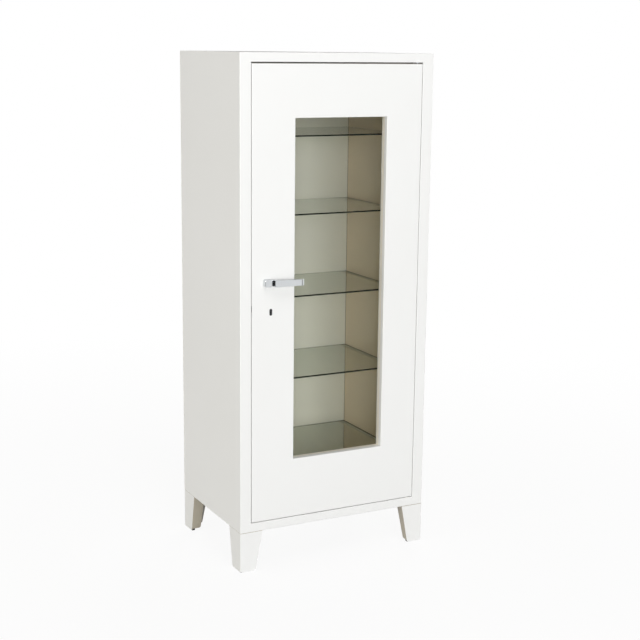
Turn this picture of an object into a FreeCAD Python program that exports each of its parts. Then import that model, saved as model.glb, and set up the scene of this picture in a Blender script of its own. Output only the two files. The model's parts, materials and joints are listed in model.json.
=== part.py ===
import FreeCAD, Part
import math
import os

# Glass door medical cabinet. All sizes are in millimetres.
# While it is modelled, x runs from the left side to the right, y from the front
# face of the carcass to the back, and z up from the floor. The finished pieces
# are moved so that the origin is on the floor, in the middle of the outer box.

# Overall size
width = 700.0
depth = 500.0
height = 1700.0
leg_height = 137.0

# Folded sheet steel
sheet = 1.2
bend = 0.8
press_radius = 1.8
face_gap = 0.3

# Carcass
stile_width = 39.0
rail_height = 30.0
stop_width = 14.0
stop_return = 9.0
wall_inset = 45.5
ceiling_drop = 38.0
floor_rise = 38.0
back_flange = 20.0
tab_height = 12.0

# Glass shelves, placed by their share of the height inside, from the floor up
shelf_shares = (0.0956, 0.2966, 0.4856, 0.6706, 0.8445)
shelf_setback = 113.0
shelf_thickness = 5.0
shelf_side_gap = 1.5
ledge_width = 22.0
ledge_height = 18.0
pad_width = 10.0
pad_height = 1.2
pad_inset = 15.0

# Legs
leg_sheet = 1.5
leg_front_top = 80.0
leg_front_bottom = 55.0
leg_side_top = 93.0
leg_side_bottom = 67.0
leg_front_return_top = 36.0
leg_front_return_bottom = 26.0
leg_side_return_top = 40.0
leg_side_return_bottom = 33.0
leg_top_edge = 0.8
leg_corner = 7.0
foot_show = 1.0
foot_height = 16.0
foot_arm = 11.0
foot_edge = 1.2
bolt_diameter = 8.0
bolt_hole = 9.0
bolt_head_across = 13.0
bolt_head_height = 5.3
nut_height = 6.5
front_bolt = (57.6, 25.56)
side_bolt = (24.75, 68.4)

# Door and its window
door_side_gap = 2.0
door_end_gap = 2.5
door_thickness = 38.0
buffer_height = 5.5
buffer_diameter = 10.0
buffer_count = 4
window_left_margin = 151.5
window_right_margin = 131.0
window_bottom_margin = 201.0
window_top_margin = 171.5
reveal_depth = 16.0
mitre_slit = 0.9
pane_front = 32.0
pane_thickness = 4.0
pane_cover = 14.0
gasket_thickness = 1.0
gasket_width = 10.0
bead_width = 27.0
bead_reveal = 3.0
bead_screw_margin = 20.0
panel_flange = 10.0

# Small screws
screw_diameter = 3.5
screw_head_diameter = 7.0
screw_head_height = 2.0
screw_reach = 6.0
thread_clearance = 0.05

# Concealed pivots at the right edge of the door
pivot_inset = 16.0
pivot_setback = 7.0
pin_diameter = 8.0
bush_wall = 1.5
bush_flange = 1.2
bush_proud = 2.0
bush_flange_height = 1.5
washer_height = 0.8
bush_clearance = 0.05
plate_thickness = 3.0
plate_setback = 2.2
plate_reach = 24.0
plate_depth = 30.0
block_reach = 20.0
block_depth = 20.0
block_height = 24.0

# Lever handle and its cam
spindle_inset = 52.0
handle_height = 974.5
hub_size = 25.0
hub_front = 17.0
hub_corner = 5.5
hub_edge = 1.4
rose_diameter = 23.0
rose_thickness = 2.0
lever_front = 30.0
lever_thickness = 8.0
lever_reach = 121.0
lever_neck = 22.0
lever_root = 24.0
lever_tip = 21.5
lever_droop = 2.5
lever_rise = 4.0
lever_neck_wall = 5.0
lever_bend = 2.0
lever_tip_corner = 2.5
lever_edge = 1.6
lever_end_rim = 5.5
lever_end_bevel = 4.0
lever_end_step = 3.0
journal_diameter = 14.0
journal_end = 8.0
spindle_bush_wall = 2.0
spindle_square = 8.0
spindle_journal = 8.0
cam_front = 14.0
cam_thickness = 3.0
cam_radius = 18.0
cam_lobe = 8.0
cam_boss = 11.0
cam_pin_diameter = 6.0
cam_pin_length = 7.0
lever_turn = 90.0

# Bolt rods, flat bars behind the cam
rod_front = 18.0
rod_thickness = 3.0
rod_width = 12.0
yoke_wall = 4.0
yoke_slack = 0.75
yoke_inner = 5.6
yoke_outer = 25.0
rod_end_inset = 2.0
rod_clearance = 0.3
rod_hole_clearance = 1.5
guide_width = 24.0
guide_height = 18.0
guide_depth = 24.0
case_half_width = 32.0
case_half_height = 40.0
case_back = 26.0
case_flange = 10.0
case_sheet = 1.5

# Key lock
key_inset = 67.0
keyhole_drop = 98.0
keyhole_width = 8.0
keyhole_height = 21.0
escutcheon_lip = 0.7
escutcheon_proud = 0.8
lock_length = 92.0
lock_height = 76.0
lock_depth = 13.0
lock_wall = 1.5
key_post_diameter = 3.2
key_ring_gap = 1.1
key_bit_width = 3.0
key_bit_reach = 7.5
key_notch_width = 8.0
key_notch_depth = 5.0
lock_bolt_lift = 14.0
lock_bolt_height = 20.0
lock_bolt_head = 26.0
lock_bolt_tail = 12.0
lock_bolt_length = 84.0
lock_throw = 12.0

# Service opening behind the mechanism
service_left = 26.0
service_gap = 2.0
service_above = 60.0
service_below = 160.0
service_overlap = 12.0

# Places that follow from the sizes above
body_bottom = leg_height
skin_bottom = body_bottom + sheet
skin_top = height - sheet
stop_face = door_thickness + buffer_height
liner_front = stop_face + sheet
liner_back = depth - sheet
inner_floor = body_bottom + floor_rise
inner_ceiling = height - ceiling_drop
inner_height = inner_ceiling - inner_floor
rail_top = body_bottom + rail_height
rail_under = height - rail_height

stile_flat = stile_width - bend - sheet

door_left = stile_width + door_side_gap
door_right = width - stile_width - door_side_gap
door_bottom = rail_top + door_end_gap
door_top = rail_under - door_end_gap
window_left = door_left + window_left_margin
window_right = door_right - window_right_margin
window_bottom = door_bottom + window_bottom_margin
window_top = door_top - window_top_margin
panel_front = door_thickness - sheet
pane_back = pane_front + pane_thickness
rebate_front = pane_front - gasket_thickness - sheet

pivot_x = door_right - pivot_inset
pivot_y = pivot_setback
bush_bore = pin_diameter + 2 * bush_clearance
bush_outer = pin_diameter + 2 * bush_wall
bush_flange_diameter = bush_outer + 2 * bush_flange

spindle_x = door_left + spindle_inset
spindle_z = handle_height
keyhole_x = door_left + key_inset
keyhole_z = handle_height - keyhole_drop
half_turn = math.radians(lever_turn / 2)
pin_drop = cam_radius * math.sin(half_turn)
rod_travel = 2 * pin_drop
rod_offset = (cam_radius + cam_radius * math.cos(half_turn)) / 2
rod_back = rod_front + rod_thickness
lock_left = door_left + sheet
lock_bolt_z = keyhole_z + lock_bolt_lift
lock_bolt_front = sheet + lock_wall + face_gap
lock_bolt_back = sheet + lock_depth - lock_wall - face_gap
service_x = door_left + service_left
service_right = window_left - bead_width - service_overlap - service_gap

origin = FreeCAD.Vector(width / 2, (depth - lever_front) / 2, 0)


# Basic solids

def slab(x0, x1, y0, y1, z0, z1):
    return Part.makeBox(x1 - x0, y1 - y0, z1 - z0, FreeCAD.Vector(x0, y0, z0))


def round_y(x, z, diameter, y0, y1):
    base = FreeCAD.Vector(x, y0, z)
    return Part.makeCylinder(diameter / 2, y1 - y0, base, FreeCAD.Vector(0, 1, 0))


def round_z(x, y, diameter, z0, z1):
    return Part.makeCylinder(diameter / 2, z1 - z0, FreeCAD.Vector(x, y, z0))


def group(shapes):
    return Part.makeCompound(shapes)


def joined(shapes):
    return shapes[0].fuse(shapes[1:]).removeSplitter()


def outline(points, radii):
    # A closed wire through flat points, with an arc of the given radius at each corner.
    corners = [FreeCAD.Vector(a, b, 0) for a, b in points]
    arcs = []
    for i, corner in enumerate(corners):
        back = (corners[i - 1] - corner).normalize()
        ahead = (corners[(i + 1) % len(corners)] - corner).normalize()
        radius = radii[i]
        if radius <= 0:
            arcs.append((corner, None, corner))
            continue
        half = back.getAngle(ahead) / 2
        reach = radius / math.tan(half)
        inward = (back + ahead).normalize()
        middle = corner + inward * (radius / math.sin(half) - radius)
        arcs.append((corner + back * reach, middle, corner + ahead * reach))
    edges = []
    for i, (start, middle, end) in enumerate(arcs):
        if middle is not None:
            edges.append(Part.Arc(start, middle, end).toShape())
        following = arcs[(i + 1) % len(arcs)][0]
        if (following - end).Length > 1e-6:
            edges.append(Part.LineSegment(end, following).toShape())
    return Part.Wire(edges)


def prism(points, radii, plane, low, high):
    # Extrudes an outline drawn in the xy, yz or xz plane along the third axis.
    face = Part.Face(outline(points, radii))
    turns = {
        "xy": FreeCAD.Matrix(1, 0, 0, 0, 0, 1, 0, 0, 0, 0, 1, low, 0, 0, 0, 1),
        "yz": FreeCAD.Matrix(0, 0, 1, low, 1, 0, 0, 0, 0, 1, 0, 0, 0, 0, 0, 1),
        "xz": FreeCAD.Matrix(1, 0, 0, 0, 0, 0, -1, low, 0, 1, 0, 0, 0, 0, 0, 1),
    }
    along = {"xy": (0, 0, 1), "yz": (1, 0, 0), "xz": (0, 1, 0)}
    face = face.transformShape(turns[plane], True)
    return face.extrude(FreeCAD.Vector(*along[plane]) * (high - low))


def plain_prism(points, plane, low, high):
    return prism(points, [0] * len(points), plane, low, high)


def folded(path, side, plane, low, high, thickness=sheet):
    # A folded sheet. The path runs along one face, and the sheet lies to its left
    # (side 1) or right (side -1). Every fold gets its inner and outer radius.
    normals = []
    for (a0, b0), (a1, b1) in zip(path, path[1:]):
        length = math.hypot(a1 - a0, b1 - b0)
        normals.append((-(b1 - b0) / length * side, (a1 - a0) / length * side))
    other = []
    path_radii = [0] * len(path)
    other_radii = [0] * len(path)
    for i, (a, b) in enumerate(path):
        before = normals[max(i - 1, 0)]
        after = normals[min(i, len(normals) - 1)]
        if i == 0 or i == len(path) - 1:
            shift = after if i == 0 else before
        else:
            scale = 1 / (1 + before[0] * after[0] + before[1] * after[1])
            shift = ((before[0] + after[0]) * scale, (before[1] + after[1]) * scale)
            turns_to_sheet = (before[0] * after[1] - before[1] * after[0]) * side > 0
            path_radii[i] = bend + thickness if turns_to_sheet else bend
            other_radii[i] = bend if turns_to_sheet else bend + thickness
        other.append((a + shift[0] * thickness, b + shift[1] * thickness))
    return prism(path + other[::-1], path_radii + other_radii[::-1], plane, low, high)


def edges_where(shape, test):
    return [edge for edge in shape.Edges if test(edge.BoundBox)]


def is_along_y(box):
    return box.YLength > 1e-3 and box.XLength < 1e-3 and box.ZLength < 1e-3


def hexagon(x, y, across, z0, z1):
    radius = across / math.sqrt(3)
    turns = [math.radians(60 * i) for i in range(6)]
    points = [(x + radius * math.cos(t), y + radius * math.sin(t)) for t in turns]
    return plain_prism(points, "xy", z0, z1)


def screw(x, z, seat):
    # A screw driven forward into a sheet whose back face is at the seat.
    head = round_y(x, z, screw_head_diameter, seat, seat + screw_head_height)
    shank = round_y(x, z, screw_diameter, seat - screw_reach, seat)
    return head.fuse(shank)


def screw_holes(places, low, high):
    diameter = screw_diameter + 2 * thread_clearance
    return group([round_y(x, z, diameter, low, high) for x, z in places])


# Carcass

def mirrored_x(points, flip):
    return [(width - x, y) if flip else (x, y) for x, y in points]


def side_panel(flip):
    # Back flange, outer face, stile, lip beside the door, door stop and its return.
    stop_edge = stile_width + stop_width
    path = [
        (back_flange, liner_back),
        (0, liner_back),
        (0, 0),
        (stile_width, 0),
        (stile_width, stop_face),
        (stop_edge, stop_face),
        (stop_edge, stop_face + stop_return),
    ]
    side = -1 if flip else 1
    panel = folded(mirrored_x(path, flip), side, "xy", skin_bottom, skin_top)
    # Beside the rails the stile ends flat, without its fold and lip, and the rail butts
    # against it.
    xs = (width - stile_width - 1, width - stile_flat) if flip else (stile_flat, stile_width + 1)
    panel = panel.cut([
        slab(*xs, -1, stop_face, *zs)
        for zs in ((body_bottom, rail_top), (rail_under, height))
    ])
    if flip:
        return panel
    slot = slab(
        stile_width - 2 * sheet, stile_width + sheet,
        lock_bolt_front - 1, lock_bolt_back + 1,
        lock_bolt_z - lock_bolt_height / 2 - 1, lock_bolt_z + lock_bolt_height / 2 + 1,
    )
    return panel.cut(slot)


def inner_wall(flip):
    path = [
        (stile_width + sheet, liner_front),
        (wall_inset, liner_front),
        (wall_inset, liner_back),
        (wall_inset - back_flange, liner_back),
    ]
    side = -1 if flip else 1
    return folded(mirrored_x(path, flip), side, "xy", skin_bottom, skin_top)


def cross_panel(is_top):
    # The top or the bottom: outer skin, rail, lip over the door's edge and door stop.
    sign = -1 if is_top else 1
    outer = height if is_top else body_bottom
    rail = outer + sign * rail_height
    stop_edge = rail + sign * stop_width
    path = [
        (liner_back, outer + sign * back_flange),
        (liner_back, outer),
        (0, outer),
        (0, rail),
        (stop_face, rail),
        (stop_face, stop_edge),
        (stop_face + stop_return, stop_edge),
    ]
    panel = folded(path, -sign, "yz", 0, width)
    skin = outer + sign * sheet
    low, high = sorted((skin, outer + sign * (rail_height + 2 * stop_width)))
    reach = stop_face + stop_return + 1
    stop_front = stop_face - 2 * bend
    notches = []
    for inside, front in ((stile_flat, -1), (stile_width + stop_width, stop_front)):
        for x0, x1 in ((-1, inside), (width - inside, width + 1)):
            notches.append(slab(x0, x1, front, reach, low, high))
    wall_side = wall_inset + face_gap
    for x0, x1 in ((-1, wall_side), (width - wall_side, width + 1)):
        notches.append(slab(x0, x1, liner_back - 2 * sheet, liner_back, low, high))
    panel = panel.cut(notches)
    tabs = []
    low, high = sorted((outer + sign * sheet / 2, outer + sign * tab_height))
    for x0 in (sheet, width - 2 * sheet):
        tabs.append(slab(x0, x0 + sheet, tab_height, liner_back - back_flange, low, high))
    return panel.fuse(tabs).removeSplitter()


def rod_hole(rod_x, z0, z1):
    wide = rod_width / 2 + rod_hole_clearance
    return slab(
        rod_x - wide, rod_x + wide,
        rod_front - rod_hole_clearance, rod_back + rod_hole_clearance, z0, z1,
    )


def top_panel():
    panel = cross_panel(True)
    lip = (rail_under - sheet, rail_under + 2 * sheet)
    return panel.cut([
        rod_hole(spindle_x + rod_offset, *lip),
        round_z(pivot_x, pivot_y, bush_outer, *lip),
    ])


def bottom_panel():
    panel = cross_panel(False)
    lip = (rail_top - 2 * sheet, rail_top + sheet)
    holes = [
        rod_hole(spindle_x - rod_offset, *lip),
        round_z(pivot_x, pivot_y, bush_outer, *lip),
    ]
    for x, y in bolt_places():
        holes.append(round_z(x, y, bolt_hole, body_bottom - 1, skin_bottom + 1))
    return panel.cut(holes)


def liner_tray(z_face, z_rim):
    # A flat sheet with a rim folded up or down on all four sides, notched at its front
    # corners round the returns of the door stop.
    low, high = sorted((z_face, z_rim))
    left, right = wall_inset, width - wall_inset
    outer = slab(left, right, liner_front, liner_back, low, high)
    skin = sheet if z_rim > z_face else -sheet
    low, high = sorted((z_face + skin, z_rim + skin))
    inner = slab(left + sheet, right - sheet, liner_front + sheet, liner_back - sheet, low, high)
    notch_x = stile_width + stop_width + face_gap
    notch_y = stop_face + stop_return + face_gap
    z0, z1 = min(z_face, z_rim) - 1, max(z_face, z_rim) + 1
    notches = [
        slab(x0, x1, liner_front - 1, notch_y, z0, z1)
        for x0, x1 in ((left - 1, notch_x), (width - notch_x, right + 1))
    ]
    return outer.cut([inner] + notches)


def ceiling_liner():
    return liner_tray(inner_ceiling, inner_ceiling + tab_height)


def floor_liner():
    return liner_tray(inner_floor, inner_floor - tab_height)


def back_panel():
    return slab(0, width, liner_back, depth, body_bottom, height)


# Shelves

def shelf_bottom(share):
    return inner_floor + share * inner_height - shelf_thickness / 2


def glass_shelf(share):
    z0 = shelf_bottom(share)
    plate = slab(
        wall_inset + shelf_side_gap, width - wall_inset - shelf_side_gap,
        shelf_setback, liner_back - shelf_side_gap, z0, z0 + shelf_thickness,
    )
    return plate.makeChamfer(0.5, edges_where(plate, lambda box: box.ZLength < 1e-3))


def shelf_ledges(flip):
    # Angle ledges on one side wall, one under each shelf.
    ledges = []
    for share in shelf_shares:
        seat = shelf_bottom(share) - pad_height
        path = [
            (wall_inset, seat - ledge_height),
            (wall_inset, seat),
            (wall_inset + ledge_width, seat),
        ]
        side = 1 if flip else -1
        angle = folded(mirrored_x(path, flip), side, "xz", shelf_setback, liner_back)
        ledges.append(angle)
    return group(ledges)


def shelf_pads():
    # A soft strip on each ledge, set back from its ends.
    pads = []
    across = wall_inset + ledge_width / 2
    for share in shelf_shares:
        z1 = shelf_bottom(share)
        for x in (across, width - across):
            pads.append(slab(
                x - pad_width / 2, x + pad_width / 2,
                shelf_setback + pad_inset, liner_back - pad_inset, z1 - pad_height, z1,
            ))
    return group(pads)


# Legs

def at_corners(shape):
    # Copies of a piece drawn at the front left corner, mirrored to all four corners.
    middle = FreeCAD.Vector(width / 2, depth / 2, 0)
    right = shape.mirror(middle, FreeCAD.Vector(1, 0, 0))
    front = {"front_left": shape, "front_right": right}
    back = {
        name.replace("front", "back"): piece.mirror(middle, FreeCAD.Vector(0, 1, 0))
        for name, piece in front.items()
    }
    return {**front, **back}


def bolt_places():
    places = []
    for x, y in (side_bolt, front_bolt):
        places += [(x, y), (width - x, y), (x, depth - y), (width - x, depth - y)]
    return places


def tapered(bottom, top):
    return lambda z: bottom + (top - bottom) * z / leg_height


front_edge = tapered(leg_front_bottom, leg_front_top)
side_edge = tapered(leg_side_bottom, leg_side_top)
front_return = tapered(leg_front_return_bottom, leg_front_return_top)
side_return = tapered(leg_side_return_bottom, leg_side_return_top)


def leg():
    # Two tapered outer plates, a tapered return along each slanted edge, and a top plate.
    z0, z1 = foot_show, leg_height
    start = z0 + leg_corner

    def plate(edge):
        return [(0, z0), (edge(z0), z0), (edge(z1), z1), (0, z1)]

    def slanted(edge):
        return [
            (edge(start), start), (edge(z1), z1),
            (edge(z1) - leg_sheet, z1), (edge(start) - leg_sheet, start),
        ]

    def return_view(edge):
        return [(0, start), (edge(start), start), (edge(z1), z1), (0, z1)]

    radii = [leg_corner, leg_corner, 0, 0]
    inner_corner = [0, leg_corner, 0, 0]
    whole = joined([
        prism(plate(front_edge), radii, "xz", 0, leg_sheet),
        prism(plate(side_edge), radii, "yz", 0, leg_sheet),
        plain_prism(slanted(front_edge), "xz", 0, leg_side_top).common(
            prism(return_view(front_return), inner_corner, "yz", 0, leg_front_top)
        ),
        plain_prism(slanted(side_edge), "yz", 0, leg_front_top).common(
            prism(return_view(side_return), inner_corner, "xz", 0, leg_side_top)
        ),
        slab(
            leg_sheet / 2, front_edge(z1) - leg_sheet,
            leg_sheet / 2, side_edge(z1) - leg_sheet, z1 - leg_sheet, z1,
        ),
    ])
    outer_fold = edges_where(
        whole, lambda box: box.XMax < 1e-3 and box.YMax < 1e-3 and box.ZLength > leg_corner
    )
    whole = whole.makeFillet(leg_sheet * 0.9, outer_fold)
    top_rim = edges_where(
        whole, lambda box: box.ZMin > z1 - 1e-3 and (
            box.XMax < leg_sheet and box.XMin < leg_sheet / 2
            or box.YMax < leg_sheet and box.YMin < leg_sheet / 2
        )
    )
    whole = whole.makeChamfer(leg_top_edge, top_rim)
    holes = [
        round_z(x, y, bolt_hole, z1 - 2 * leg_sheet, z1 + 1) for x, y in bolt_places()
    ]
    return whole.cut(holes)


def leg_foot():
    # An L-shaped glider behind the ends of the two plates, which stands out below them.
    # Its outline is where its front and its side view meet, each tapered as the plate is.
    def view(edge):
        return [
            (leg_sheet + foot_edge, 0), (edge(0) - leg_sheet - foot_edge, 0),
            (edge(foot_edge) - leg_sheet, foot_edge),
            (edge(foot_height) - leg_sheet, foot_height),
            (leg_sheet, foot_height), (leg_sheet, foot_edge),
        ]

    front = plain_prism(view(front_edge), "xz", 0, leg_side_top)
    side = plain_prism(view(side_edge), "yz", 0, leg_front_top)
    inside = leg_sheet + foot_arm
    clear = slab(inside, leg_front_top, inside, leg_side_top, -1, foot_height + 1)
    return front.common(side).cut(clear)


def leg_bolts():
    bolts = []
    seat = leg_height - leg_sheet
    for x, y in bolt_places():
        head = hexagon(x, y, bolt_head_across, seat - bolt_head_height, seat)
        shank = round_z(x, y, bolt_diameter, seat, skin_bottom + nut_height + 2)
        bolts.append(head.fuse(shank))
    return group(bolts)


def leg_nuts():
    nuts = []
    thread = bolt_diameter + 2 * thread_clearance
    for x, y in bolt_places():
        nut = hexagon(x, y, bolt_head_across, skin_bottom, skin_bottom + nut_height)
        bore = round_z(x, y, thread, skin_bottom - 1, skin_bottom + nut_height + 1)
        nuts.append(nut.cut(bore))
    return group(nuts)


# Pivots

def hinge_plates():
    plates = []
    reach = (pivot_x - plate_reach, width - stile_width)
    for z0 in (rail_under + sheet, rail_top - sheet - plate_thickness):
        plate = slab(
            *reach, plate_setback, plate_setback + plate_depth, z0, z0 + plate_thickness
        )
        bore = round_z(pivot_x, pivot_y, bush_outer, z0 - 1, z0 + plate_thickness + 1)
        plates.append(plate.cut(bore))
    return group(plates)


def hinge_bushes():
    # Each bush passes through the lip and its plate. The lower one has a flange on the
    # lip, which carries the door by way of the washer.
    length = sheet + plate_thickness + bush_proud
    upper = round_z(pivot_x, pivot_y, bush_outer, rail_under, rail_under + length)
    lower = round_z(pivot_x, pivot_y, bush_outer, rail_top - length, rail_top)
    lower_flange = round_z(
        pivot_x, pivot_y, bush_flange_diameter, rail_top, rail_top + bush_flange_height
    )
    bore = round_z(pivot_x, pivot_y, bush_bore, body_bottom, height)
    return group([upper.cut(bore), joined([lower, lower_flange]).cut(bore)])


def thrust_washer():
    z0 = rail_top + bush_flange_height
    washer = round_z(pivot_x, pivot_y, bush_flange_diameter, z0, z0 + washer_height)
    return washer.cut(round_z(pivot_x, pivot_y, bush_bore, z0 - 1, z0 + washer_height + 1))


def upper_hinge_pin():
    z1 = rail_under + sheet + plate_thickness + 2 * bush_proud
    pin = round_z(pivot_x, pivot_y, pin_diameter, door_top - sheet - block_height, z1)
    return pin.makeChamfer(1, edges_where(pin, lambda box: box.ZMin > z1 - 1e-3))


def lower_hinge_pin():
    z0 = rail_top - sheet - plate_thickness - 2 * bush_proud
    pin = round_z(pivot_x, pivot_y, pin_diameter, z0, door_bottom + sheet + block_height)
    return pin.makeChamfer(1, edges_where(pin, lambda box: box.ZMax < z0 + 1e-3))


def pivot_blocks():
    blocks = []
    for z0 in (door_top - sheet - block_height, door_bottom + sheet):
        block = slab(
            pivot_x - block_reach, door_right - sheet,
            sheet, sheet + block_depth, z0, z0 + block_height,
        )
        bore = round_z(pivot_x, pivot_y, pin_diameter, z0 - 1, z0 + block_height + 1)
        blocks.append(block.cut(bore))
    return group(blocks)


# Door

def window_slab(grow, y0, y1):
    return slab(
        window_left - grow, window_right + grow, y0, y1, window_bottom - grow, window_top + grow
    )


def window_ring(inner, outer, y0, y1):
    return window_slab(outer, y0, y1).cut(window_slab(inner, y0 - 1, y1 + 1))


def mitre_slits(y0, y1, reach):
    # Thin open slits where the folds around the window meet at its corners.
    slits = []
    for x, z, angle in (
        (window_left, window_bottom, 225), (window_right, window_bottom, 315),
        (window_right, window_top, 45), (window_left, window_top, 135),
    ):
        slit = slab(-mitre_slit, reach, y0, y1, -mitre_slit / 2, mitre_slit / 2)
        slit.rotate(FreeCAD.Vector(0, 0, 0), FreeCAD.Vector(0, 1, 0), -angle)
        slit.translate(FreeCAD.Vector(x, 0, z))
        slits.append(slit)
    return slits


def door_outer_skin():
    outer = slab(door_left, door_right, 0, door_thickness, door_bottom, door_top)
    front_and_corners = edges_where(outer, lambda box: box.YMax < 1e-3 or is_along_y(box))
    outer = outer.makeFillet(press_radius, front_and_corners)
    inner = slab(
        door_left + sheet, door_right - sheet, sheet, door_thickness + 1,
        door_bottom + sheet, door_top - sheet,
    )
    skin = outer.cut(inner).fuse(window_slab(sheet, sheet / 2, reveal_depth))
    skin = skin.removeSplitter().cut(window_slab(0, -1, reveal_depth + 1))

    def is_window_rim(box):
        inside_x = box.XMin > window_left - 0.01 and box.XMax < window_right + 0.01
        inside_z = box.ZMin > window_bottom - 0.01 and box.ZMax < window_top + 0.01
        return box.YMax < 1e-3 and inside_x and inside_z

    skin = skin.makeFillet(press_radius * 0.8, edges_where(skin, is_window_rim))
    lock_half = lock_bolt_height / 2 + face_gap
    cuts = mitre_slits(2.5 * sheet, reveal_depth + 1, 2.5 * sheet)
    cuts += [
        round_y(spindle_x, spindle_z, journal_diameter + 2 * spindle_bush_wall, -1, 2 * sheet),
        keyhole_slot(0, -1, 2 * sheet),
        slab(
            door_left - 1, door_left + 2 * sheet, lock_bolt_front - face_gap,
            lock_bolt_back + face_gap, lock_bolt_z - lock_half, lock_bolt_z + lock_half,
        ),
        rod_hole(spindle_x + rod_offset, door_top - 2 * sheet, door_top + 1),
        rod_hole(spindle_x - rod_offset, door_bottom - 1, door_bottom + 2 * sheet),
        round_z(pivot_x, pivot_y, bush_bore, door_top - 2 * sheet, door_top + 1),
        round_z(pivot_x, pivot_y, bush_bore, door_bottom - 1, door_bottom + 2 * sheet),
    ]
    return skin.cut(cuts)


def panel_opening():
    return pane_cover + sheet + 1


def service_slab(grow, y0, y1):
    return slab(
        service_x - grow, service_right + grow, y0, y1,
        handle_height - service_below - grow, handle_height + service_above + grow,
    )


def door_inner_panel():
    outer = slab(
        door_left + sheet, door_right - sheet, door_thickness - panel_flange,
        door_thickness, door_bottom + sheet, door_top - sheet,
    )
    inner = slab(
        door_left + 2 * sheet, door_right - 2 * sheet, door_thickness - panel_flange - 1,
        panel_front, door_bottom + 2 * sheet, door_top - 2 * sheet,
    )
    panel = outer.cut(inner)
    return panel.cut([
        window_slab(panel_opening(), panel_front - 1, door_thickness + 1),
        service_slab(0, panel_front - 1, door_thickness + 1),
        screw_holes(bead_screw_places() + service_screw_places(), 0, door_thickness + 1),
    ])


def glazing_frame():
    # A rebated frame: reveal web, a step outward that carries the pane, and a rim.
    rim = panel_opening()
    ring = joined([
        window_ring(0, sheet, reveal_depth, rebate_front + sheet),
        window_ring(0, rim + sheet, rebate_front, rebate_front + sheet),
        window_ring(rim, rim + sheet, rebate_front, panel_front),
    ])
    return ring


def door_glass():
    pane = window_slab(pane_cover, pane_front, pane_back)
    return pane.makeChamfer(0.4, edges_where(pane, lambda box: not is_along_y(box)))


def glass_gaskets():
    # One soft strip on each side of the pane, set back from the opening's edge.
    inner = pane_cover - gasket_width
    return group([
        window_ring(inner, pane_cover, pane_front - gasket_thickness, pane_front),
        window_ring(inner, pane_cover, pane_back, panel_front),
    ])


def bead_screw_places():
    places = []
    for share in (0.06, 0.5, 0.94):
        z = window_bottom + share * (window_top - window_bottom)
        places.append((window_left - bead_screw_margin, z))
        places.append((window_right + bead_screw_margin, z))
    for share in (0.2, 0.8):
        x = window_left + share * (window_right - window_left)
        places.append((x, window_bottom - bead_screw_margin))
        places.append((x, window_top + bead_screw_margin))
    return places


def glazing_bead(side):
    # A flat strip along one side of the window, with its inner edge folded to the pane.
    # Neighbouring strips meet in a mitre.
    y0, y1 = door_thickness, door_thickness + sheet
    inner, outer = bead_reveal, bead_width
    xs = {"left": (window_left - outer, window_left - inner),
          "right": (window_right + inner, window_right + outer)}
    zs = {"bottom": (window_bottom - outer, window_bottom - inner),
          "top": (window_top + inner, window_top + outer)}
    if side in xs:
        near, far = (xs[side][1], xs[side][0]) if side == "left" else xs[side]
        points = [
            (far, window_bottom - outer), (near, window_bottom - inner),
            (near, window_top + inner), (far, window_top + outer),
        ]
        lip_x = sorted((near, near + (sheet if side == "right" else -sheet)))
        lip = slab(*lip_x, panel_front, y0, window_bottom, window_top)
    else:
        near, far = (zs[side][1], zs[side][0]) if side == "bottom" else zs[side]
        points = [
            (window_left - outer, far), (window_left - inner, near),
            (window_right + inner, near), (window_right + outer, far),
        ]
        lip_z = sorted((near, near + (sheet if side == "top" else -sheet)))
        lip = slab(window_left, window_right, panel_front, y0, *lip_z)
    strip = joined([plain_prism(points, "xz", y0, y1), lip])
    return strip.cut(screw_holes(bead_screw_places(), 0, y1 + 1))


def service_screw_places():
    places = []
    inset = service_overlap / 2
    x0, x1 = service_x - inset, service_right + inset
    z0 = handle_height - service_below - inset
    z1 = handle_height + service_above + inset
    for x in (x0, x1):
        places += [(x, z0), (x, z1)]
    return places


def service_cover():
    plate = service_slab(service_overlap, door_thickness, door_thickness + sheet)
    plate = plate.makeFillet(4, edges_where(plate, is_along_y))
    return plate.cut(screw_holes(service_screw_places(), 0, door_thickness + 2 * sheet))


def door_screws():
    places = bead_screw_places() + service_screw_places()
    return group([screw(x, z, door_thickness + sheet) for x, z in places])


def door_buffers():
    # Rubber buffers on the left stop, just clear of the closed door.
    buffers = []
    x = stile_width + stop_width / 2
    for i in range(buffer_count):
        z = door_bottom + (i + 0.5) / buffer_count * (door_top - door_bottom)
        buffers.append(round_y(x, z, buffer_diameter, door_thickness + face_gap, stop_face))
    return group(buffers)


# Handle

def handle_rose():
    rose = round_y(spindle_x, spindle_z, rose_diameter, -rose_thickness, 0)
    rim = edges_where(rose, lambda box: box.YMax < -rose_thickness + 1e-3)
    rose = rose.makeChamfer(rose_thickness / 3, rim)
    bore = journal_diameter + 2 * spindle_bush_wall
    return rose.cut(round_y(spindle_x, spindle_z, bore, -rose_thickness - 1, 1))


def spindle_bush():
    outer = journal_diameter + 2 * spindle_bush_wall
    bush = joined([
        round_y(spindle_x, spindle_z, outer, -rose_thickness, journal_end),
        round_y(spindle_x, spindle_z, outer + 2 * spindle_bush_wall, sheet, sheet + spindle_bush_wall),
    ])
    bore = journal_diameter + 2 * bush_clearance
    return bush.cut(round_y(spindle_x, spindle_z, bore, -rose_thickness - 1, journal_end + 1))


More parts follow.
